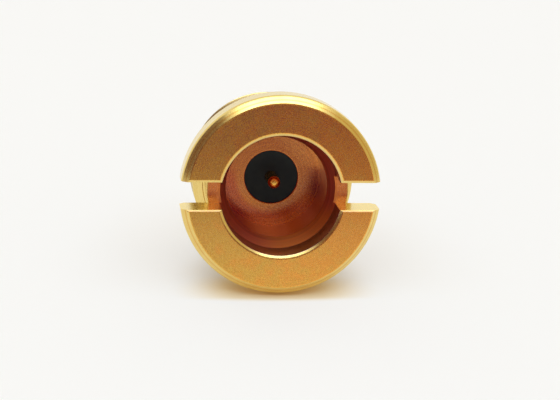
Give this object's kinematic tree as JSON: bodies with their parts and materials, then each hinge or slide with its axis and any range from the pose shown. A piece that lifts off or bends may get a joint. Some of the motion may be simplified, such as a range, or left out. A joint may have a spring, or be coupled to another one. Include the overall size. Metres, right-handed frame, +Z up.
{
  "type": "hermetic coaxial connector",
  "caption": "Round gold-plated coaxial panel connector with a slotted flange, a plain neck, a threaded barrel and a stepped socket whose contact pin is sealed in black glass.",
  "frame": {"origin": "on the axis where the threaded barrel begins, behind the neck", "axes": "+Y along the axis from the mouth towards the tail, X along the driving slot, +Z up; the mouth faces -Y"},
  "size_m": [0.006, 0.0065, 0.006],
  "materials": {
    "gold_plating": "satin gold plating over a turned surface",
    "black_glass": "smooth opaque black sealing glass",
    "contact_gold": "bright gold plating"
  },
  "bodies": {
    "root": {"body": "gold_plating", "glass_seal": "black_glass", "contact": "contact_gold"}
  },
  "joints": []
}
